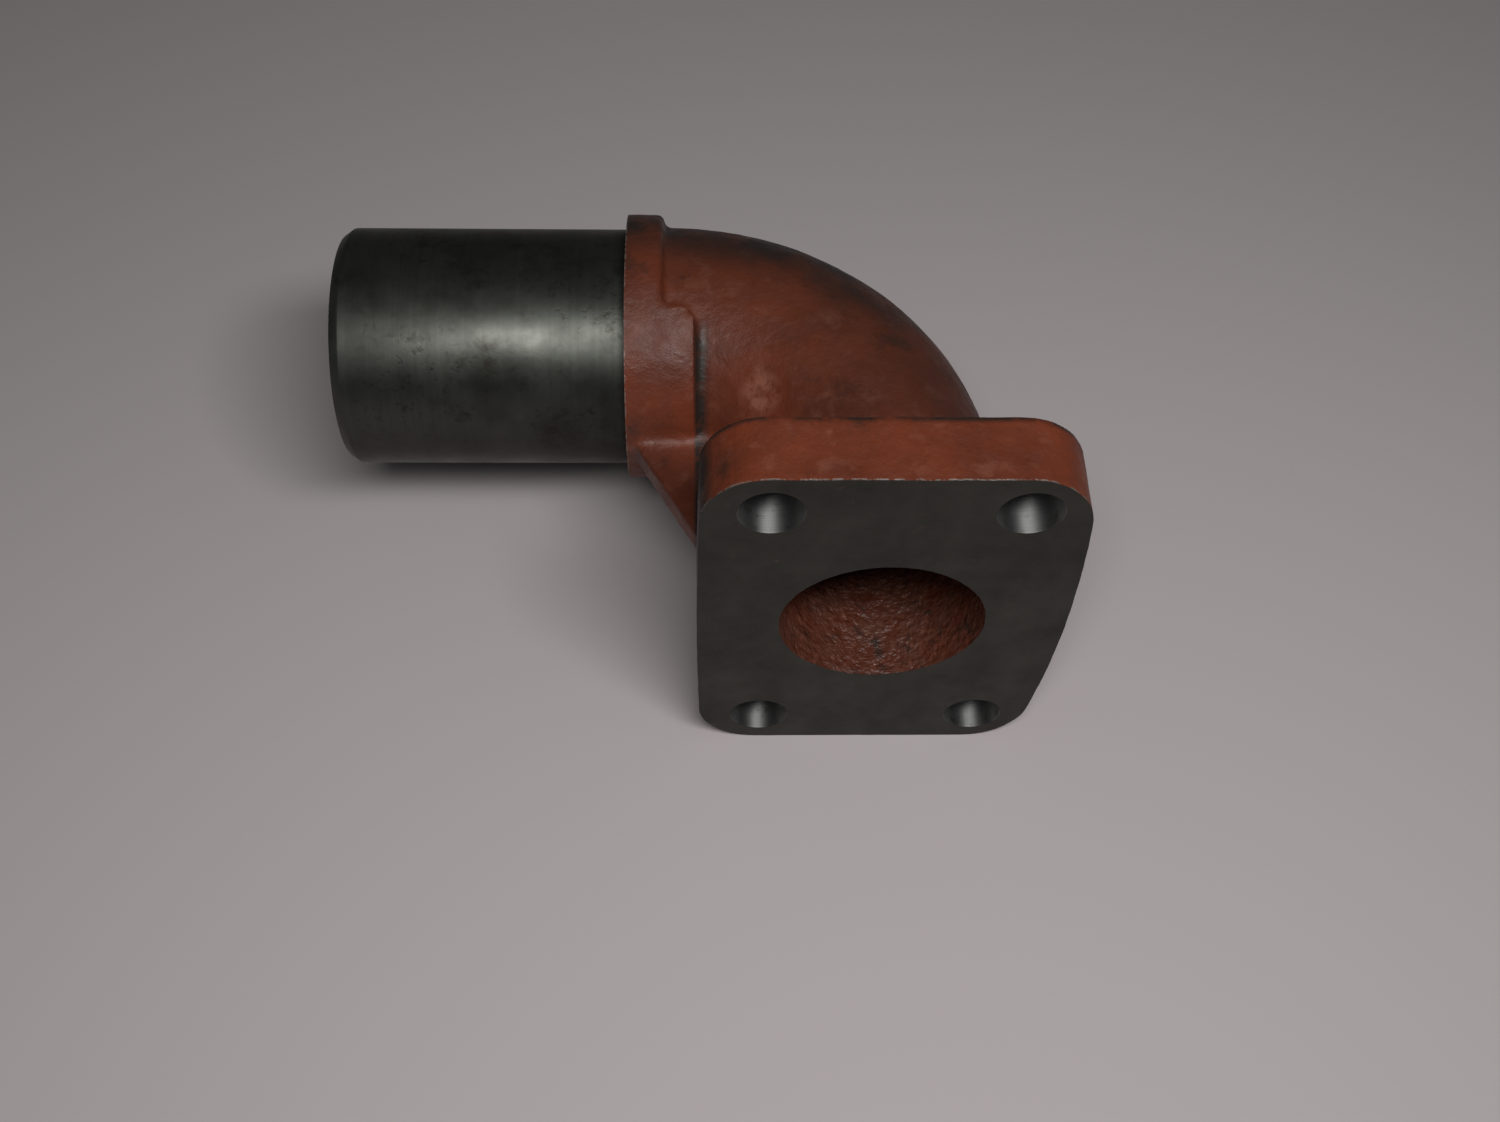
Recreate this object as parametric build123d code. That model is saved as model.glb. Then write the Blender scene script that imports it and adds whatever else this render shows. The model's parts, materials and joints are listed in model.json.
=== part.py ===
from build123d import *
import os

# Cast-iron 90 degree pipe elbow: a four-hole flange, a round bend with a collar at its
# far mouth, a web in the inner corner, and a turned tube pressed into the collar.
# Frame: origin at the centre of the flange's mating face, +Z up along the flange's long
# side. The mating face looks along -Y and the spigot tube leaves along -X.
# All sizes are in millimetres.

# flange
flange_width = 65.0
flange_height = 85.0
flange_thickness = 13.0
flange_corner_radius = 11.0
side_crown_away_from_spigot = 3.0
side_crown_towards_spigot = 0.8
flange_back_round = 1.0
bolt_inset_from_sides = 12.0
bolt_inset_from_ends = 9.0
bolt_hole_diameter = 11.0

# waterway and bend
bore_diameter = 36.0
bend_wall = 5.0
face_to_spigot_axis = 63.0
straight_behind_flange = 13.0
straight_after_bend = 8.4
root_fillet = 2.5

# collar at the mouth of the casting, wider on the inner side of the bend
collar_height = 2.5
collar_width = 6.8
collar_round = 1.6
saddle_width = 12.9
saddle_edge_below_axis = 9.3
saddle_round = 2.0

# web in the inner corner, between the collar and the flange's back
web_thickness = 6.0
web_foot_inset = 1.8

# shank of the tube and the socket bored for it in the casting
shank_wall = 2.5
press_clearance = 0.0
socket_depth = 10.0

# spigot tube
spigot_wall = 4.5
spigot_end_to_flange_axis = 99.0
spigot_chamfer_length = 1.8
spigot_chamfer_depth = 1.3
shank_chamfer = 0.6

bore_radius = bore_diameter / 2
bend_outer_radius = bore_radius + bend_wall
collar_radius = bend_outer_radius + collar_height
shank_radius = bore_radius + shank_wall
socket_radius = shank_radius + press_clearance
spigot_radius = bore_radius + spigot_wall
bend_start_y = flange_thickness + straight_behind_flange
bend_radius = face_to_spigot_axis - bend_start_y
shoulder_x = -(bend_radius + straight_after_bend)
bolt_spacing_x = flange_width - 2 * bolt_inset_from_sides
bolt_spacing_z = flange_height - 2 * bolt_inset_from_ends
cut_margin = 1.0


def bar_on_flange_axis(radius, y_from, y_to):
    place = Pos(0, (y_from + y_to) / 2, 0) * Rot(X=90)
    return place * Cylinder(radius, y_to - y_from)


def bar_on_spigot_axis(radius, x_from, x_to):
    place = Pos((x_from + x_to) / 2, face_to_spigot_axis, 0) * Rot(Y=90)
    return place * Cylinder(radius, x_to - x_from)


def quarter_bend(radius):
    """Quarter torus that leads from the flange's axis to the spigot's axis."""
    section = Plane.XZ.offset(-bend_start_y) * Circle(radius)
    turn_axis = Axis((-bend_radius, bend_start_y, 0), (0, 0, 1))
    return revolve(section, turn_axis, 90)


def flange_plate():
    """Plate with straight top and bottom edges and crowned sides."""
    top = flange_height / 2
    side = flange_width / 2
    outer_corner = side - side_crown_away_from_spigot
    inner_corner = side_crown_towards_spigot - side
    edges = Curve() + [
        Line((inner_corner, top), (outer_corner, top)),
        ThreePointArc((outer_corner, top), (side, 0), (outer_corner, -top)),
        Line((outer_corner, -top), (inner_corner, -top)),
        ThreePointArc((inner_corner, -top), (-side, 0), (inner_corner, top)),
    ]
    outline = make_face(edges)
    outline = fillet(outline.vertices(), flange_corner_radius)
    plate = extrude(Plane.XZ * outline, -flange_thickness)
    back_edges = plate.faces().sort_by(Axis.Y)[-1].edges()
    return fillet(back_edges, flange_back_round)


def bolt_holes():
    depth = 2 * (flange_thickness + cut_margin)
    hole = Cylinder(bolt_hole_diameter / 2, depth)
    spots = GridLocations(bolt_spacing_x, bolt_spacing_z, 2, 2)
    return [Plane.XZ * spot * hole for spot in spots]


def outer_bend():
    """Solid of the pipe's outside, from inside the flange plate to inside the collar."""
    pipe = bar_on_flange_axis(bend_outer_radius, flange_thickness / 2, bend_start_y)
    pipe += quarter_bend(bend_outer_radius)
    pipe += bar_on_spigot_axis(bend_outer_radius, shoulder_x, -bend_radius)
    return pipe


def collar():
    ring = bar_on_spigot_axis(collar_radius, shoulder_x, shoulder_x + collar_width)
    far_edge = ring.edges().filter_by(GeomType.CIRCLE).sort_by(Axis.X)[-1]
    return fillet(far_edge, collar_round)


def saddle():
    """Wider stretch of the collar round the inner side of the bend."""
    wide_ring = bar_on_spigot_axis(collar_radius, shoulder_x, shoulder_x + saddle_width)
    keep_depth = collar_radius
    keep_y = face_to_spigot_axis - saddle_edge_below_axis - keep_depth / 2
    keep_place = Pos(shoulder_x + saddle_width / 2, keep_y, 0)
    keep = keep_place * Box(saddle_width, keep_depth, 2 * collar_radius)
    pad = wide_ring & keep
    far_face = pad.faces().sort_by(Axis.X)[-1]
    long_edges = pad.edges().filter_by(Axis.X)
    return fillet(far_face.edges() + long_edges, saddle_round)


def web():
    """Flat triangular web on the mid-plane. Its inner part lies inside the pipe's wall."""
    foot_x = web_foot_inset - flange_width / 2
    outline = Polyline(
        (shoulder_x, face_to_spigot_axis - collar_radius),
        (foot_x, flange_thickness),
        (-bore_radius, flange_thickness),
        (-bore_radius, face_to_spigot_axis - bore_radius),
        (shoulder_x, face_to_spigot_axis - bore_radius),
        close=True,
    )
    return extrude(make_face(outline), web_thickness / 2, both=True)


def waterway():
    port = bar_on_flange_axis(bore_radius, -cut_margin, bend_start_y)
    port += quarter_bend(bore_radius)
    port += bar_on_spigot_axis(bore_radius, shoulder_x, -bend_radius)
    return port


def socket():
    return bar_on_spigot_axis(socket_radius, shoulder_x - cut_margin, shoulder_x + socket_depth)


def elbow_casting():
    body = flange_plate() + outer_bend()
    flange_root = body.edges().filter_by(GeomType.CIRCLE).filter_by_position(
        Axis.Y, flange_thickness, flange_thickness
    )
    body = fillet(flange_root, root_fillet)
    body += collar()
    body += saddle()
    body += web()
    body -= waterway()
    body -= socket()
    return body - bolt_holes()


def spigot_tube():
    end_x = -spigot_end_to_flange_axis
    shank_end_x = shoulder_x + socket_depth
    barrel = bar_on_spigot_axis(spigot_radius, end_x, shoulder_x)
    mouth_edge = barrel.edges().filter_by(GeomType.CIRCLE).sort_by(Axis.X)[0]
    barrel = chamfer(mouth_edge, spigot_chamfer_length, spigot_chamfer_depth)
    shank = bar_on_spigot_axis(shank_radius, shoulder_x - cut_margin, shank_end_x)
    shank_edge = shank.edges().filter_by(GeomType.CIRCLE).sort_by(Axis.X)[-1]
    tube = barrel + chamfer(shank_edge, shank_chamfer)
    return tube - bar_on_spigot_axis(bore_radius, end_x - cut_margin, shank_end_x + cut_margin)


os.makedirs("parts", exist_ok=True)
export_step(elbow_casting(), "parts/elbow_casting.step")
export_step(spigot_tube(), "parts/spigot_tube.step")
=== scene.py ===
import bpy
import json
import math
import numpy as np
from mathutils import Euler, Matrix, Vector


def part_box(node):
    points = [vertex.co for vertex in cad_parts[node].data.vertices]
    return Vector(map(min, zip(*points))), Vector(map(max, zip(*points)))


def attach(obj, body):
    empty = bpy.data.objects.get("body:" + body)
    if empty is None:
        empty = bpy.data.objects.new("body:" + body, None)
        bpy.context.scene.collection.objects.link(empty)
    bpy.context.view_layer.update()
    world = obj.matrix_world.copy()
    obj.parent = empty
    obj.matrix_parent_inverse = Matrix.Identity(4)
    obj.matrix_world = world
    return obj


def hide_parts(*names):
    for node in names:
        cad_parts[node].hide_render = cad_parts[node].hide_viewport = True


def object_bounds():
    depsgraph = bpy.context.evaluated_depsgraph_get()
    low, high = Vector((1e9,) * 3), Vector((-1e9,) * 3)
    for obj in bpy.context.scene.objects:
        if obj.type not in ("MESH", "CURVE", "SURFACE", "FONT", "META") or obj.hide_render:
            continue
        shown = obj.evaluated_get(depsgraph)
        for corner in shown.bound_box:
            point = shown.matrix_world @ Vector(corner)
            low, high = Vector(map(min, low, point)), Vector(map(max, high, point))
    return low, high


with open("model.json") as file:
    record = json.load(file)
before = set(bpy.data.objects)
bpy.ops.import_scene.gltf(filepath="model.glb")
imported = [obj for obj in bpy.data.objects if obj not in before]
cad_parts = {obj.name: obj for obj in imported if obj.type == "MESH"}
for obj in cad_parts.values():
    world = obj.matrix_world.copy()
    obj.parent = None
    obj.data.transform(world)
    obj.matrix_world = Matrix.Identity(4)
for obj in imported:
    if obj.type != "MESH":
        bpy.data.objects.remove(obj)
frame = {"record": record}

mm = 0.001
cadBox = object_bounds()
castLow, castHigh = [Vector(corner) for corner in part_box("elbow_casting")]
tubeLow, tubeHigh = [Vector(corner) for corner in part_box("spigot_tube")]
mounts = {mount["name"]: mount for mount in frame["record"]["mounts"]}
bolts = mounts["flange_bolts"]["dims"]

axisY = (tubeLow.y + tubeHigh.y) / 2  # the spigot's axis runs along X, this far behind the flange face
shoulderX = castLow.x
flangeWide = castHigh.x  # half the flange's width
flangeHigh = castHigh.z  # half its height
collarRadius = castHigh.y - axisY
tubeRadius = tubeHigh.z
print("frame loaded")


def clearPick():
    if bpy.context.mode != "OBJECT":
        bpy.ops.object.mode_set(mode="OBJECT")
    bpy.ops.object.select_all(action="DESELECT")


def pick(obj):
    clearPick()
    obj.select_set(True)
    bpy.context.view_layer.objects.active = obj


def placed(name):
    # names the primitive that was just added and moves its place into its mesh
    obj = bpy.context.object
    obj.name = name
    obj.data.name = name
    bpy.ops.object.transform_apply(location=True, rotation=True, scale=True)
    return obj


def editEdges(obj, wanted):
    # leaves edit mode on, with only the wanted edges selected
    pick(obj)
    points = obj.data.vertices
    for part in (obj.data.polygons, obj.data.edges, points):
        for item in part:
            item.select = False
    for edge in obj.data.edges:
        ends = [points[i] for i in edge.vertices]
        if wanted(ends[0].co, ends[1].co):
            edge.select = True
            for end in ends:
                end.select = True
    bpy.context.tool_settings.mesh_select_mode = (False, True, False)
    bpy.ops.object.mode_set(mode="EDIT")


def editAll(obj):
    pick(obj)
    bpy.ops.object.mode_set(mode="EDIT")
    bpy.ops.mesh.select_all(action="SELECT")


def fixNormals(obj):
    editAll(obj)
    bpy.ops.mesh.remove_doubles(threshold=0.002 * mm)
    bpy.ops.mesh.normals_make_consistent(inside=False)
    clearPick()


def applied(obj, kind, **values):
    pick(obj)
    mod = obj.modifiers.new(kind.title(), kind)
    for key, value in values.items():
        setattr(mod, key, value)
    bpy.ops.object.modifier_apply(modifier=mod.name)


def edgesRounded(obj, radius, segments=4, angle=40):
    sharpest = math.radians(angle)
    applied(obj, "BEVEL", width=radius, segments=segments, limit_method="ANGLE", angle_limit=sharpest)


def joined(name, blanks):
    clearPick()
    for blank in blanks:
        blank.select_set(True)
    bpy.context.view_layer.objects.active = blanks[0]
    bpy.ops.object.join()
    blanks[0].name = name
    blanks[0].data.name = name
    return blanks[0]


def cutAway(obj, tool):
    applied(obj, "BOOLEAN", operation="DIFFERENCE", solver="EXACT", object=tool)
    bpy.data.objects.remove(tool, do_unlink=True)


def trimmed(obj, place, normal):
    # takes off all that lies on the normal's side of the plane and closes the cut
    editAll(obj)
    bpy.ops.mesh.bisect(plane_co=place, plane_no=normal, clear_outer=True, use_fill=True)
    clearPick()


def roundBar(name, radius, start, end, sides=128):
    # cylinder from start to end, along X or along Y
    start, end = Vector(start), Vector(end)
    along = end - start
    turn = (0, math.pi / 2, 0) if abs(along.x) > abs(along.y) else (math.pi / 2, 0, 0)
    clearPick()
    bpy.ops.mesh.primitive_cylinder_add(
        vertices=sides, radius=radius, depth=along.length, location=(start + end) / 2, rotation=turn
    )
    return placed(name)


camera = dict(
    lookAt=(-0.0228, 0.0131, 0.0), distance=0.2856, heading=3.23, height=56.66, roll=2.69,
    lens=38.4, sensor=36.0,
)


def addCamera():
    data = bpy.data.cameras.new("camera")
    data.lens = camera["lens"]
    data.sensor_width = camera["sensor"]
    data.clip_start = 0.01
    cam = bpy.data.objects.new("camera", data)
    bpy.context.scene.collection.objects.link(cam)
    aim = Euler((math.radians(90 - camera["height"]), 0, math.radians(-camera["heading"]))).to_matrix()
    turned = aim @ Matrix.Rotation(math.radians(camera["roll"]), 3, "Z")
    place = Vector(camera["lookAt"]) + aim @ Vector((0, 0, camera["distance"]))
    cam.matrix_world = Matrix.Translation(place) @ turned.to_4x4()
    bpy.context.scene.camera = cam


studio = dict(
    floorSize=12.0, floorColour=(0.55, 0.505, 0.513, 1), worldLight=0.04,
    floorRoughness=0.8, skyColour=(0.95, 0.97, 1, 1),
    lamps=dict(
        key=dict(place=(0.025, -0.155, 0.355), length=0.26, width=0.07, watts=1.22, tint=(1, 0.985, 0.965)),
        fill=dict(place=(0.45, -0.30, 0.60), length=0.6, width=0.6, watts=0.15, tint=(0.95, 0.97, 1)),
    ),
)


def addLight(name, place, length, width, watts, tint):
    data = bpy.data.lights.new(name, "AREA")
    data.shape = "RECTANGLE"
    data.size = length
    data.size_y = width
    data.energy = watts
    data.color = tint
    light = bpy.data.objects.new(name, data)
    bpy.context.scene.collection.objects.link(light)
    light.location = place
    towardsLight = Vector(place) - Vector(camera["lookAt"])
    light.rotation_euler = towardsLight.to_track_quat("Z", "Y").to_euler()


def addStudio():
    clearPick()
    bpy.ops.mesh.primitive_plane_add(size=studio["floorSize"], location=(0, 0, cadBox[0][2]))
    floor = placed("floor")
    paint = bpy.data.materials.new("paleFloor")
    paint.use_nodes = True
    shader = paint.node_tree.nodes["Principled BSDF"]
    shader.inputs["Base Color"].default_value = studio["floorColour"]
    shader.inputs["Roughness"].default_value = studio["floorRoughness"]
    floor.data.materials.append(paint)
    for name, lamp in studio["lamps"].items():
        addLight(name + "Light", **lamp)
    world = bpy.data.worlds.new("studioWorld")
    world.use_nodes = True
    sky = world.node_tree.nodes["Background"]
    sky.inputs["Color"].default_value = studio["skyColour"]
    sky.inputs["Strength"].default_value = studio["worldLight"]
    bpy.context.scene.world = world
    bpy.context.scene.view_settings.view_transform = "Standard"


addCamera()
addStudio()
print("camera and studio set")


casting = dict(
    plate=13.0 * mm, cornerRound=11.0 * mm, crownOuter=3.0 * mm, crownInner=0.8 * mm, backRound=1.0 * mm,
    bore=18.0 * mm, wall=5.0 * mm, bendRadius=37.0 * mm, rootFillet=2.5 * mm,
    collarWidth=7.0 * mm, collarRound=1.3 * mm,
    saddleWidth=12.9 * mm, saddleEdge=9.3 * mm, saddleRound=1.3 * mm, saddleCorner=4.0 * mm,
    webThick=6.0 * mm, webFootInset=1.8 * mm, webRound=0.8 * mm,
    socket=20.5 * mm, socketDepth=10.0 * mm,
    stock=3.0 * mm,  # extra metal on the faces that get machined
    overrun=2.0 * mm,  # how far a drill starts before the metal and stops past it
    grain=0.7 * mm, smoothing=3,  # size of the blank's faces, and how often they are smoothed
    filletRounds=3, filletPasses=12, filletDepth=0.012 * mm,  # corners hollower than this are smoothed
    webFilletFrom=10.0 * mm, webFilletReach=2.5 * mm,  # from the flange's axis, and beside the web
    lumps=9.0 * mm, lumpDepth=0.25 * mm, sand=1.8 * mm, sandDepth=0.12 * mm,  # the rough skin
    coreSand=2.2 * mm, coreSandDepth=0.35 * mm,
)
pipeRadius = casting["bore"] + casting["wall"]
bendStartY = axisY - casting["bendRadius"]
bendCentre = (-casting["bendRadius"], bendStartY, 0)


def flangeBlank():
    c = casting
    clearPick()
    bpy.ops.mesh.primitive_cube_add(size=1, location=(0, (c["plate"] - c["stock"]) / 2, 0))
    bpy.context.object.scale = (2 * flangeWide, c["plate"] + c["stock"], 2 * flangeHigh)
    plate = placed("flangeBlank")
    editEdges(plate, lambda a, b: abs(a.y - b.y) > c["plate"] / 2)
    bpy.ops.mesh.bevel(offset=c["cornerRound"], segments=10)
    steps = 14
    for i in range(1, steps):
        level = flangeHigh * (2 * i / steps - 1)
        bpy.ops.mesh.select_all(action="SELECT")
        bpy.ops.mesh.bisect(plane_co=(0, 0, level), plane_no=(0, 0, 1))
    clearPick()
    # the sides are crowned: only the middle has the full width
    for point in plate.data.vertices:
        crown = c["crownOuter"] if point.co.x > 0 else c["crownInner"]
        drawIn = crown * (point.co.z / flangeHigh) ** 2 * abs(point.co.x) / flangeWide
        point.co.x -= math.copysign(drawIn, point.co.x)
    fixNormals(plate)
    edgesRounded(plate, c["backRound"])
    return plate


def extruded(step):
    bpy.ops.mesh.extrude_region_move(TRANSFORM_OT_translate={"value": step})


def bentPipe(name, radius, fromY, toX, sides, bendSteps, rows):
    # round bar along the flange's axis, through the bend and out along the spigot's axis
    clearPick()
    bpy.ops.mesh.primitive_circle_add(
        vertices=sides, radius=radius, fill_type="NGON",
        location=(0, fromY, 0), rotation=(math.pi / 2, 0, 0),
    )
    pipe = placed(name)
    editAll(pipe)
    for i in range(rows):
        extruded((0, (bendStartY - fromY) / rows, 0))
    bpy.ops.mesh.spin(steps=bendSteps, angle=-math.pi / 2, center=bendCentre, axis=(0, 0, 1))
    for i in range(rows):
        extruded(((toX - bendCentre[0]) / rows, 0, 0))
    clearPick()
    fixNormals(pipe)
    return pipe


def flangeRoot():
    # cone of metal in the corner between the pipe and the flange's back
    c = casting
    clearPick()
    bpy.ops.mesh.primitive_cone_add(
        vertices=128, radius1=pipeRadius + c["rootFillet"], radius2=pipeRadius, depth=c["rootFillet"],
        location=(0, c["plate"] + c["rootFillet"] / 2, 0), rotation=(-math.pi / 2, 0, 0),
    )
    return placed("flangeRoot")


def collarBlank():
    c = casting
    start = (shoulderX - c["stock"], axisY, 0)
    ring = roundBar("collarBlank", collarRadius, start, (shoulderX + c["collarWidth"], axisY, 0))
    edgesRounded(ring, c["collarRound"])
    return ring


def saddleBlank():
    # the collar is wider round the inner side of the bend, and that stretch has rounded corners
    c = casting
    far = shoulderX + c["saddleWidth"]
    upper = axisY - c["saddleEdge"]
    start = (shoulderX - c["stock"], axisY, 0)
    pad = roundBar("saddleBlank", collarRadius, start, (far + c["stock"], axisY, 0))
    low = Vector((shoulderX - 2 * c["stock"], axisY - 2 * collarRadius, -2 * collarRadius))
    high = Vector((far, upper, 2 * collarRadius))
    clearPick()
    bpy.ops.mesh.primitive_cube_add(size=1, location=(low + high) / 2)
    bpy.context.object.scale = high - low
    keep = placed("saddleKeep")
    nearly = 0.01 * mm
    editEdges(keep, lambda a, b: min(a.x, b.x) > far - nearly and min(a.y, b.y) > upper - nearly)
    bpy.ops.mesh.bevel(offset=c["saddleCorner"], segments=8)
    clearPick()
    applied(pad, "BOOLEAN", operation="INTERSECT", solver="EXACT", object=keep)
    bpy.data.objects.remove(keep, do_unlink=True)
    edgesRounded(pad, c["saddleRound"])
    return pad


def webBlank():
    c = casting
    foot = Vector((c["webFootInset"] - flangeWide, c["plate"], 0))
    toe = Vector((shoulderX, axisY - collarRadius, 0))
    low = Vector((shoulderX - c["stock"], c["plate"] / 2, 0))
    high = Vector((-c["bore"], axisY - c["bore"], 0))
    clearPick()
    bpy.ops.mesh.primitive_cube_add(size=1, location=(low + high) / 2)
    bpy.context.object.scale = (high.x - low.x, high.y - low.y, c["webThick"])
    web = placed("webBlank")
    slope = foot - toe
    trimmed(web, toe, (slope.y, -slope.x, 0))
    edgesRounded(web, c["webRound"], segments=3)
    return web


def rootsFilled(body):
    # smooths the hollow corners beside the web and behind the flange into cast fillets
    c = casting
    mesh = body.data
    ends = np.empty(len(mesh.edges) * 2, dtype=np.int64)
    mesh.edges.foreach_get("vertices", ends)
    one, two = ends.reshape(-1, 2).T
    count = len(mesh.vertices)
    neighbours = np.bincount(ends, minlength=count)
    body.vertex_groups.new(name="roots")
    for i in range(c["filletRounds"]):
        places = np.empty(count * 3)
        normals = np.empty(count * 3)
        body.data.vertices.foreach_get("co", places)
        body.data.vertices.foreach_get("normal", normals)
        places, normals = places.reshape(-1, 3), normals.reshape(-1, 3)
        middle = np.zeros((count, 3))
        np.add.at(middle, one, places[two])
        np.add.at(middle, two, places[one])
        middle /= neighbours[:, None]
        depth = ((middle - places) * normals).sum(axis=1)
        x, y, z = places.T
        nearWeb = np.abs(z) < c["webThick"] / 2 + c["webFilletReach"]
        byWeb = nearWeb & (x < -c["webFilletFrom"]) & (y < axisY - c["bore"])
        byFlange = y < c["plate"] + 2 * c["rootFillet"]
        roots = np.nonzero((depth > c["filletDepth"]) & (byWeb | byFlange))[0]
        group = body.vertex_groups["roots"]
        group.add(list(range(count)), 0, "REPLACE")
        group.add(roots.tolist(), 1, "REPLACE")
        applied(body, "SMOOTH", factor=0.5, iterations=c["filletPasses"], vertex_group="roots")
    body.vertex_groups.clear()


def roughened(obj, size, depth, outward):
    # cast skin in a clouds pattern: hollows pressed in, or lumps and hollows if outward
    pattern = bpy.data.textures.new(obj.name + "Skin", "CLOUDS")
    pattern.noise_scale = size
    pattern.noise_depth = 3
    applied(obj, "DISPLACE", texture=pattern, strength=depth, mid_level=0.5 if outward else 1.0)


def waterwayTool():
    c = casting
    past = 2 * c["overrun"]
    core = bentPipe("waterwayTool", c["bore"], -past, shoulderX - past, sides=144, bendSteps=54, rows=24)
    roughened(core, c["coreSand"], c["coreSandDepth"], outward=True)
    return core


def machineCasting(body):
    c = casting
    trimmed(body, (0, 0, 0), (0, -1, 0))
    trimmed(body, (shoulderX, 0, 0), (-1, 0, 0))
    cutAway(body, waterwayTool())
    drills = []
    for sideX in (-1, 1):
        for sideZ in (-1, 1):
            x = sideX * bolts["spacing_x_mm"] / 2 * mm
            z = sideZ * bolts["spacing_y_mm"] / 2 * mm
            start, end = (x, -c["overrun"], z), (x, c["plate"] + c["overrun"], z)
            drills.append(roundBar("drill", bolts["hole_r_mm"] * mm, start, end, sides=64))
    start, end = (shoulderX - c["overrun"], axisY, 0), (shoulderX + c["socketDepth"], axisY, 0)
    drills.append(roundBar("socketBar", c["socket"], start, end))
    cutAway(body, joined("machiningTools", drills))


def makeCasting():
    c = casting
    startY, endX = c["plate"] / 2, shoulderX - c["stock"]
    pipe = bentPipe("pipeBlank", pipeRadius, startY, endX, sides=128, bendSteps=40, rows=1)
    blanks = [flangeBlank(), pipe, flangeRoot(), collarBlank(), saddleBlank(), webBlank()]
    body = joined("elbowBody", blanks)
    applied(body, "REMESH", mode="VOXEL", voxel_size=c["grain"])
    applied(body, "SMOOTH", factor=0.5, iterations=c["smoothing"])
    rootsFilled(body)
    roughened(body, c["lumps"], c["lumpDepth"], outward=False)
    roughened(body, c["sand"], c["sandDepth"], outward=False)
    print("casting blank", len(body.data.polygons), "faces")
    machineCasting(body)
    print("casting machined", len(body.data.polygons), "faces")
    return body


tube = dict(
    shankRadius=20.45 * mm, shankChamfer=0.6 * mm, bore=18.0 * mm,
    chamferLength=1.8 * mm, chamferDepth=1.3 * mm, sides=192, brokenEdge=0.18 * mm,
)


def makeTube():
    # one point is drawn along the wall's outline, and the outline is spun round the axis
    t = tube
    outline = [
        (tubeLow.x + t["chamferLength"], tubeRadius),
        (shoulderX, tubeRadius),
        (shoulderX, t["shankRadius"]),
        (tubeHigh.x - t["shankChamfer"], t["shankRadius"]),
        (tubeHigh.x, t["shankRadius"] - t["shankChamfer"]),
        (tubeHigh.x, t["bore"]),
        (tubeLow.x, t["bore"]),
        (tubeLow.x, tubeRadius - t["chamferDepth"]),
        (tubeLow.x + t["chamferLength"], tubeRadius),
    ]
    clearPick()
    bpy.ops.mesh.primitive_plane_add(size=mm, location=(outline[0][0], axisY, outline[0][1]))
    wall = placed("spigotTube")
    bpy.context.tool_settings.mesh_select_mode = (True, False, False)
    editAll(wall)
    bpy.ops.mesh.merge(type="CENTER")
    for (x, radius), (nextX, nextRadius) in zip(outline, outline[1:]):
        extruded((nextX - x, 0, nextRadius - radius))
    bpy.ops.mesh.select_all(action="SELECT")
    bpy.ops.mesh.spin(steps=t["sides"], angle=2 * math.pi, center=(0, axisY, 0), axis=(1, 0, 0))
    clearPick()
    fixNormals(wall)
    edgesRounded(wall, t["brokenEdge"], segments=2, angle=25)
    print("spigot tube", len(wall.data.polygons), "faces")
    return wall


def addNode(tree, kind, inputs=None, **settings):
    # an input is given a value, or another node's output to be linked to
    made = tree.nodes.new("ShaderNode" + kind)
    for key, value in settings.items():
        setattr(made, key, value)
    for key, value in (inputs or {}).items():
        if isinstance(value, bpy.types.NodeSocket):
            tree.links.new(value, made.inputs[key])
        else:
            made.inputs[key].default_value = value
    return made


def clouds(tree, coords, scale, detail=6, rough=0.6):
    inputs = {"Vector": coords, "Scale": scale, "Detail": detail, "Roughness": rough}
    return addNode(tree, "TexNoise", inputs).outputs["Fac"]


def rings(tree, along, scale):
    # marks that run round a turned surface, from the place along or away from its axis
    inputs = {"W": along, "Scale": scale, "Detail": 4, "Roughness": 0.7}
    return addNode(tree, "TexNoise", inputs, noise_dimensions="1D").outputs["Fac"]


def between(tree, value, low, high, first=0.0, last=1.0):
    # where value runs from low to high, the answer runs from first to last
    inputs = {"Value": value, "From Min": low, "From Max": high, "To Min": first, "To Max": last}
    return addNode(tree, "MapRange", inputs).outputs["Result"]


def patches(tree, coords, scale, detail, span, shares=(0.0, 1.0), rough=0.6):
    # cloudy patches, with the first share in the gaps and the last in the thickest parts
    return between(tree, clouds(tree, coords, scale, detail, rough), *span, *shares)


def maths(tree, what, one, two=0.0):
    return addNode(tree, "Math", {0: one, 1: two}, operation=what).outputs[0]


def times(tree, one, two):
    return maths(tree, "MULTIPLY", one, two)


def distance(tree, one, two):
    squares = [maths(tree, "POWER", side, 2.0) for side in (one, two)]
    return maths(tree, "SQRT", maths(tree, "ADD", *squares))


def mixed(tree, share, one, two):
    return addNode(tree, "Mix", {0: share, 6: one, 7: two}, data_type="RGBA").outputs[2]


def bumped(tree, height, depth, strength, under=None):
    inputs = {"Height": height, "Distance": depth, "Strength": strength}
    if under:
        inputs["Normal"] = under
    return addNode(tree, "Bump", inputs).outputs["Normal"]


def newPaint(name):
    paint = bpy.data.materials.new(name)
    paint.use_nodes = True
    tree = paint.node_tree
    coords = addNode(tree, "TexCoord").outputs["Object"]
    x, y, z = addNode(tree, "SeparateXYZ", {"Vector": coords}).outputs
    return paint, tree, coords, dict(x=x, y=y, z=z)


def wired(tree, **sockets):
    shader = tree.nodes["Principled BSDF"]
    for key, value in sockets.items():
        target = shader.inputs[key.replace("_", " ")]
        if isinstance(value, bpy.types.NodeSocket):
            tree.links.new(value, target)
        else:
            target.default_value = value


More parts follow.
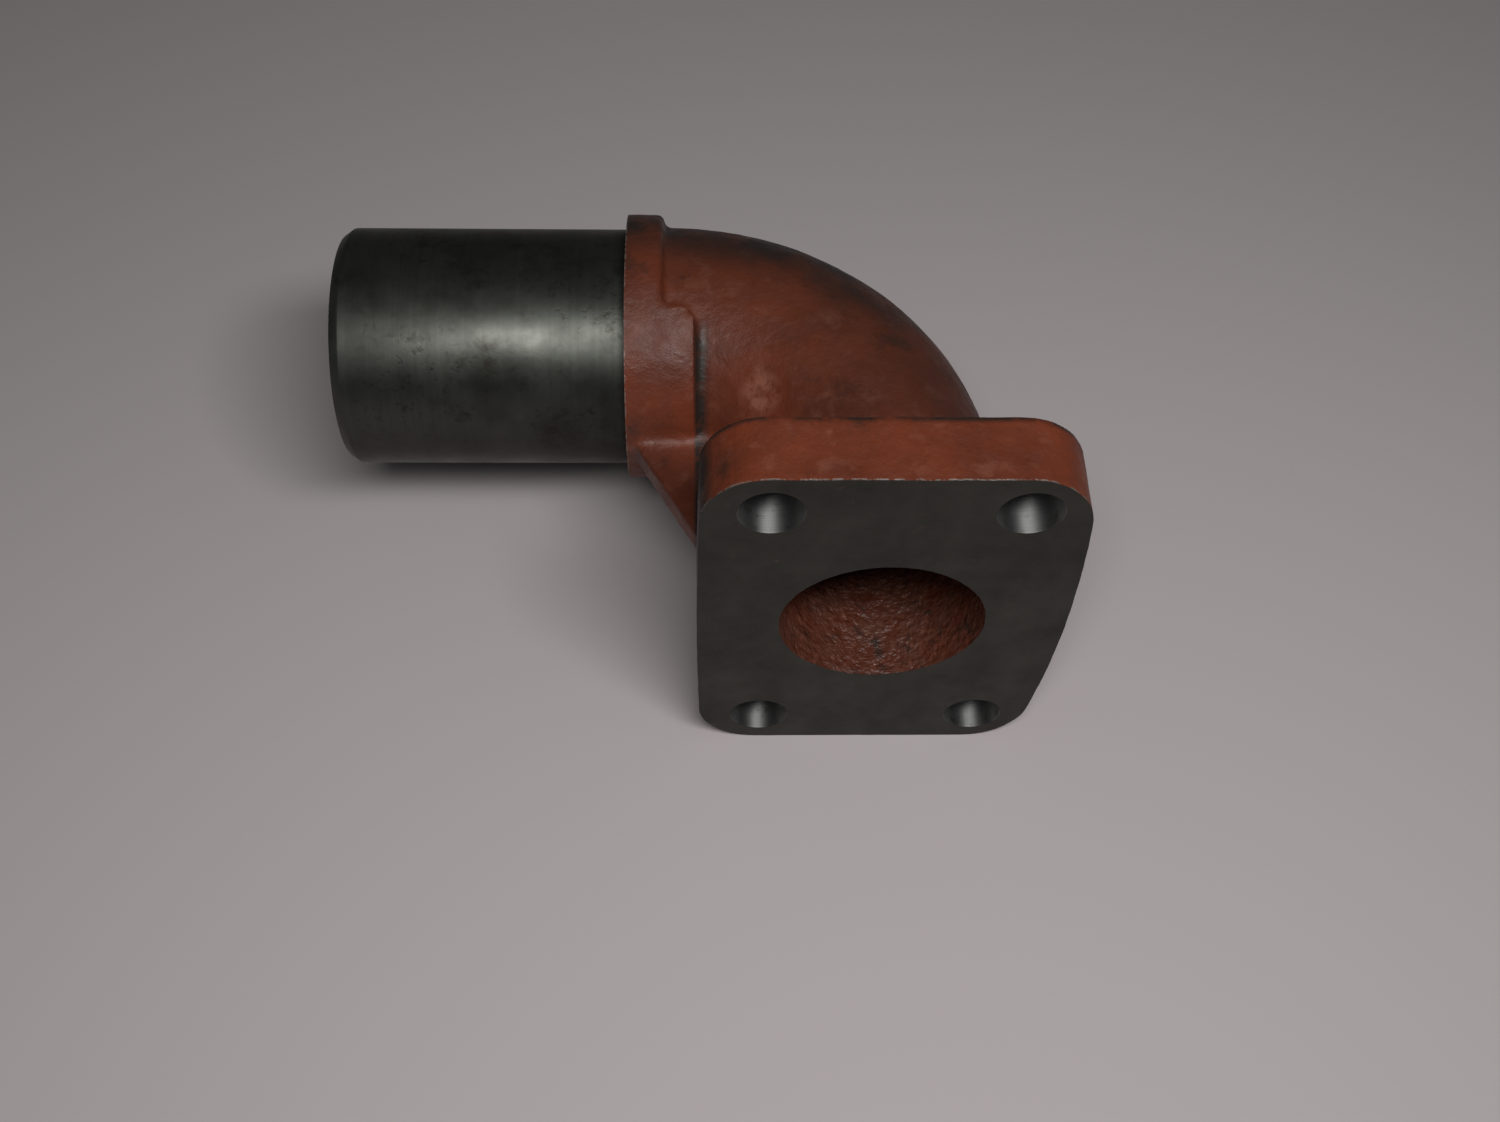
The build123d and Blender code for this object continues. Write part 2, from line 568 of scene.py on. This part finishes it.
def brushedAlong(tree, along, amount):
    # tool marks spread the shine in one direction
    way = addNode(tree, "CombineXYZ", {along: 1.0}).outputs["Vector"]
    wired(tree, Anisotropic=amount, Tangent=way)


primer = dict(
    base=(0.185, 0.039, 0.015, 1), worn=(0.100, 0.024, 0.012, 1), chalk=(0.30, 0.115, 0.075, 1),
    wet=(0.105, 0.040, 0.026, 1), sootAndShade=(0.021, 0.016, 0.013, 1), bare=(0.40, 0.375, 0.34, 1),
    outerDarkFrom=37 * mm, outerDarkTo=47 * mm,  # outward from the bend's centre
    shadeFrom=casting["plate"] + 2 * mm, shadeTo=bendStartY + 6 * mm,
    patchFrom=axisY - 14 * mm, patchTo=axisY - 2 * mm,
    palePatchPlace=(-21 * mm, 38.5 * mm, 15.5 * mm), palePatchReach=5 * mm,
    cornerShadeWide=2.8 * mm, cornerShadeFrom=axisY - 15 * mm, cornerShadeTo=axisY - 11 * mm, cornerShadeSoft=0.5 * mm,
    rimWide=2.0 * mm, chipReach=0.4 * mm,
)


def outwardFromBend(tree, at):
    pastCentre = maths(tree, "MAXIMUM", maths(tree, "SUBTRACT", at["x"], bendCentre[0]))
    return distance(tree, pastCentre, maths(tree, "SUBTRACT", at["y"], bendStartY))


def outerShade(tree, at):
    # painted shade: the whole outer side of the bend and collar is a little darker
    p = primer
    shade = between(tree, outwardFromBend(tree, at), 0.5 * p["outerDarkFrom"], p["outerDarkTo"], 0, 0.5)
    return times(tree, shade, between(tree, at["y"], p["shadeFrom"], p["shadeTo"]))


def outerDarkPatches(tree, coords, at):
    # dark patches over the outer side of the bend, near the collar's level
    p = primer
    outside = between(tree, outwardFromBend(tree, at), p["outerDarkFrom"], p["outerDarkTo"])
    outside = times(tree, outside, between(tree, at["y"], p["patchFrom"], p["patchTo"]))
    return times(tree, outside, patches(tree, coords, 105, 8, (0.40, 0.56), (0.2, 0.92)))


def paleBendPatch(tree, coords):
    # one paler patch on the inner side of the bend
    p = primer
    away = addNode(tree, "VectorMath", {0: coords, 1: p["palePatchPlace"]}, operation="DISTANCE")
    mark = between(tree, away.outputs["Value"], 0.45 * p["palePatchReach"], p["palePatchReach"], 1, 0)
    return times(tree, mark, patches(tree, coords, 330, 6, (0.36, 0.56), (0, 0.8)))


def cornerShade(tree, coords, at):
    # painted shade and shadow in the corner beside the saddle; the band also darkens the flange's left side
    p = primer
    saddleEnd = shoulderX + casting["saddleWidth"]
    near = between(tree, at["x"], saddleEnd - p["cornerShadeSoft"], saddleEnd + 0.2 * p["cornerShadeSoft"])
    far = between(tree, at["x"], saddleEnd + 0.45 * p["cornerShadeWide"], saddleEnd + p["cornerShadeWide"], 1, 0)
    darkening = times(tree, times(tree, near, far), between(tree, at["y"], p["cornerShadeFrom"], p["cornerShadeTo"], 1, 0))
    return times(tree, darkening, patches(tree, coords, 240, 7, (0.30, 0.48), (0.5, 0.97)))


def rimGrime(tree, coords, at):
    # dirt on the flange's rounded back edge
    wide, back = primer["rimWide"], casting["plate"]
    rim = times(
        tree, between(tree, at["y"], back - wide, back - 0.5 * wide),
        between(tree, at["y"], back, back + 0.5 * wide, 1, 0),
    )
    return times(tree, rim, patches(tree, coords, 150, 7, (0.36, 0.54), (0, 0.9)))


def edgeChips(tree, coords, at):
    # bare metal shows along the edges of the machined face and, less often, of the shoulder
    reach = primer["chipReach"]
    nearFace = between(tree, at["y"], 0, reach, 1, 0)
    nearShoulder = between(tree, at["x"], shoulderX, shoulderX + reach, 0.35, 0)
    nearEdge = between(tree, maths(tree, "MAXIMUM", nearFace, nearShoulder), 0.1, 0.5)
    return times(tree, nearEdge, patches(tree, coords, 820, 5, (0.45, 0.58), rough=0.7))


def primerPaint():
    # brushed red oxide over cast iron, sooty in places, with painted shade over the outer bend and in the
    # corner beside the saddle, and chipped along the machined edges
    p = primer
    paint, tree, coords, at = newPaint("redPrimer")
    chips = edgeChips(tree, coords, at)
    darkening = maths(tree, "MAXIMUM", cornerShade(tree, coords, at), rimGrime(tree, coords, at))
    colour = mixed(tree, patches(tree, coords, 55, 6, (0.35, 0.68)), p["base"], p["worn"])
    colour = mixed(tree, patches(tree, coords, 210, 8, (0.56, 0.78), (0, 0.45)), colour, p["chalk"])
    colour = mixed(tree, patches(tree, coords, 95, 9, (0.58, 0.70), (0, 0.6), 0.68), colour, p["sootAndShade"])
    # painted shade over the outer side of the bend and collar
    colour = mixed(tree, outerShade(tree, at), colour, p["sootAndShade"])
    colour = mixed(tree, outerDarkPatches(tree, coords, at), colour, p["sootAndShade"])
    colour = mixed(tree, paleBendPatch(tree, coords), colour, p["chalk"])
    colour = mixed(tree, patches(tree, coords, 1500, 3, (0.60, 0.72), (0, 0.35)), colour, p["sootAndShade"])
    # painted shade in the corner beside the saddle, and dirt on the flange's back edge
    colour = mixed(tree, darkening, colour, p["sootAndShade"])
    colour = mixed(tree, chips, colour, p["bare"])
    grip = patches(tree, coords, 260, 6, (0.3, 0.7), (0.36, 0.58))
    grain = bumped(tree, clouds(tree, coords, 560, 6, 0.65), 0.36 * mm, 0.65)
    grain = bumped(tree, clouds(tree, coords, 2300, 3), 0.05 * mm, 0.5, grain)
    grain = bumped(tree, maths(tree, "SUBTRACT", 1.0, chips), 0.08 * mm, 0.6, grain)
    wired(tree, Base_Color=colour, Metallic=chips, Roughness=grip, Specular_IOR_Level=0.4, Normal=grain)
    return paint


machined = dict(
    base=(0.036, 0.034, 0.029, 1), bright=(0.062, 0.060, 0.053, 1), rust=(0.070, 0.028, 0.013, 1),
    drilledDull=(0.20, 0.205, 0.205, 1), drilledBright=(0.30, 0.305, 0.30, 1),
    drilledStain=(0.07, 0.045, 0.035, 1),
)


def machinedPaint():
    # faced off in a lathe: rings round the port, a dull grey skin and a few rust spots
    m = machined
    paint, tree, coords, at = newPaint("machinedIron")
    turned = rings(tree, distance(tree, at["x"], at["z"]), 2400)
    colour = mixed(tree, patches(tree, coords, 70, 6, (0.35, 0.7)), m["base"], m["bright"])
    colour = mixed(tree, between(tree, turned, 0.35, 0.75, 0, 0.4), colour, m["bright"])
    spots = patches(tree, coords, 430, 6, (0.62, 0.68), rough=0.7)
    rust = times(tree, spots, patches(tree, coords, 60, 6, (0.45, 0.6)))
    colour = mixed(tree, rust, colour, m["rust"])
    metal = between(tree, rust, 0, 1, 0.9, 0.1)
    grip = patches(tree, coords, 180, 6, (0.3, 0.7), (0.40, 0.56))
    grain = bumped(tree, turned, 0.012 * mm, 0.5)
    grain = bumped(tree, clouds(tree, coords, 1300, 5), 0.02 * mm, 0.4, grain)
    wired(tree, Base_Color=colour, Metallic=metal, Roughness=grip, Normal=grain)
    return paint


def drilledPaint():
    # the drill leaves the metal brighter, with rings down the hole
    m = machined
    paint, tree, coords, at = newPaint("drilledIron")
    turned = rings(tree, at["y"], 5200)
    colour = mixed(tree, between(tree, turned, 0.3, 0.7), m["drilledDull"], m["drilledBright"])
    colour = mixed(tree, patches(tree, coords, 420, 6, (0.58, 0.75), (0, 0.7)), colour, m["drilledStain"])
    grip = patches(tree, coords, 500, 6, (0.3, 0.7), (0.52, 0.62))
    grain = bumped(tree, turned, 0.012 * mm, 0.6)
    wired(tree, Base_Color=colour, Metallic=0.97, Roughness=grip, Normal=grain)
    brushedAlong(tree, "Y", 0.85)
    return paint


def roughBorePaint():
    # the sand core leaves the waterway rough, under a thin coat of primer
    p = primer
    paint, tree, coords, at = newPaint("roughWaterway")
    colour = mixed(tree, patches(tree, coords, 160, 7, (0.35, 0.7)), p["worn"], p["wet"])
    colour = mixed(tree, patches(tree, coords, 700, 6, (0.55, 0.75), (0, 0.5)), colour, p["chalk"])
    colour = mixed(tree, patches(tree, coords, 380, 8, (0.56, 0.70), (0, 0.8)), colour, p["sootAndShade"])
    grip = patches(tree, coords, 600, 5, (0.3, 0.7), (0.28, 0.55))
    grain = bumped(tree, clouds(tree, coords, 600, 3, 0.55), 0.9 * mm, 1.0)
    wired(tree, Base_Color=colour, Roughness=grip, Normal=grain)
    return paint


steel = dict(
    base=(0.108, 0.113, 0.101, 1), dull=(0.056, 0.058, 0.051, 1), stainAndShade=(0.030, 0.025, 0.020, 1),
    inside=(0.10, 0.055, 0.038, 1),
    shadeFullBelow=-4 * mm, shadeNoneAbove=13 * mm,  # painted shade: the underside is darker
)


def turnedSteelPaint():
    # fine turning rings with dull blotches, small dark pits, a little staining and painted shade on the
    # underside
    s = steel
    paint, tree, coords, at = newPaint("turnedSteel")
    turned = rings(tree, at["x"], 3600)
    underside = between(tree, at["z"], s["shadeFullBelow"], s["shadeNoneAbove"], 0.7, 0)
    pitted = patches(tree, coords, 48, 3, (0.44, 0.60), (0, 0.6))
    pits = times(tree, patches(tree, coords, 680, 3, (0.55, 0.72), rough=0.5), pitted)
    colour = mixed(tree, between(tree, rings(tree, at["x"], 700), 0.3, 0.7, 0, 0.3), s["base"], s["dull"])
    colour = mixed(tree, patches(tree, coords, 75, 8, (0.48, 0.66), (0, 0.8)), colour, s["dull"])
    # painted shade on the underside
    colour = mixed(tree, underside, colour, s["stainAndShade"])
    colour = mixed(tree, pits, colour, s["stainAndShade"])
    colour = mixed(tree, patches(tree, coords, 140, 9, (0.56, 0.68), (0, 0.6), 0.7), colour, s["stainAndShade"])
    grip = patches(tree, coords, 110, 8, (0.35, 0.68), (0.42, 0.55))
    grain = bumped(tree, turned, 0.006 * mm, 0.45)
    grain = bumped(tree, clouds(tree, coords, 900, 4), 0.02 * mm, 0.35, grain)
    grain = bumped(tree, maths(tree, "SUBTRACT", 1.0, pits), 0.06 * mm, 0.5, grain)
    wired(tree, Base_Color=colour, Metallic=0.92, Roughness=grip, Normal=grain)
    brushedAlong(tree, "X", 0.4)
    return paint


def tubeInsidePaint():
    # bored, then browned by the wet
    s = steel
    paint, tree, coords, at = newPaint("tubeInside")
    turned = rings(tree, at["x"], 1500)
    colour = mixed(tree, patches(tree, coords, 130, 8, (0.35, 0.68)), s["inside"], s["dull"])
    colour = mixed(tree, patches(tree, coords, 500, 6, (0.55, 0.72), (0, 0.7)), colour, s["stainAndShade"])
    grain = bumped(tree, turned, 0.03 * mm, 0.6)
    grain = bumped(tree, clouds(tree, coords, 800, 7), 0.06 * mm, 0.6, grain)
    wired(tree, Base_Color=colour, Metallic=0.6, Roughness=0.58, Normal=grain)
    return paint


def awayFromWaterway(point):
    # distance from the line down the middle of the port, bend and spigot
    if point.y < bendStartY:
        return math.hypot(point.x, point.z)
    if point.x < bendCentre[0]:
        return math.hypot(point.y - axisY, point.z)
    across = math.hypot(point.x - bendCentre[0], point.y - bendStartY)
    return math.hypot(across - casting["bendRadius"], point.z)


def paintCasting(body):
    for paint in (primerPaint(), machinedPaint(), drilledPaint(), roughBorePaint()):
        body.data.materials.append(paint)
    onFace, pastDrill, pastCore = 0.02 * mm, 0.1 * mm, 0.6 * mm
    for face in body.data.polygons:
        middle = face.center
        fromHoleX = abs(middle.x) - bolts["spacing_x_mm"] / 2 * mm
        fromHoleZ = abs(middle.z) - bolts["spacing_y_mm"] / 2 * mm
        inHole = math.hypot(fromHoleX, fromHoleZ) < bolts["hole_r_mm"] * mm + pastDrill
        if middle.y < onFace and face.normal.y < -0.9:
            face.material_index = 1
        elif inHole and middle.y < casting["plate"]:
            face.material_index = 2
        elif awayFromWaterway(middle) < casting["bore"] + pastCore:
            face.material_index = 3


def paintTube(wall):
    wall.data.materials.append(turnedSteelPaint())
    wall.data.materials.append(tubeInsidePaint())
    justPastBore = tube["bore"] + 0.1 * mm
    for face in wall.data.polygons:
        if math.hypot(face.center.y - axisY, face.center.z) < justPastBore:
            face.material_index = 1


def finish(piece, node):
    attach(piece, "root")
    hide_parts(node)
    pick(piece)
    bpy.ops.object.shade_smooth_by_angle(angle=math.radians(35))


elbowBody = makeCasting()
spigotTube = makeTube()
paintCasting(elbowBody)
paintTube(spigotTube)
finish(elbowBody, "elbow_casting")
finish(spigotTube, "spigot_tube")
print("pieces painted")
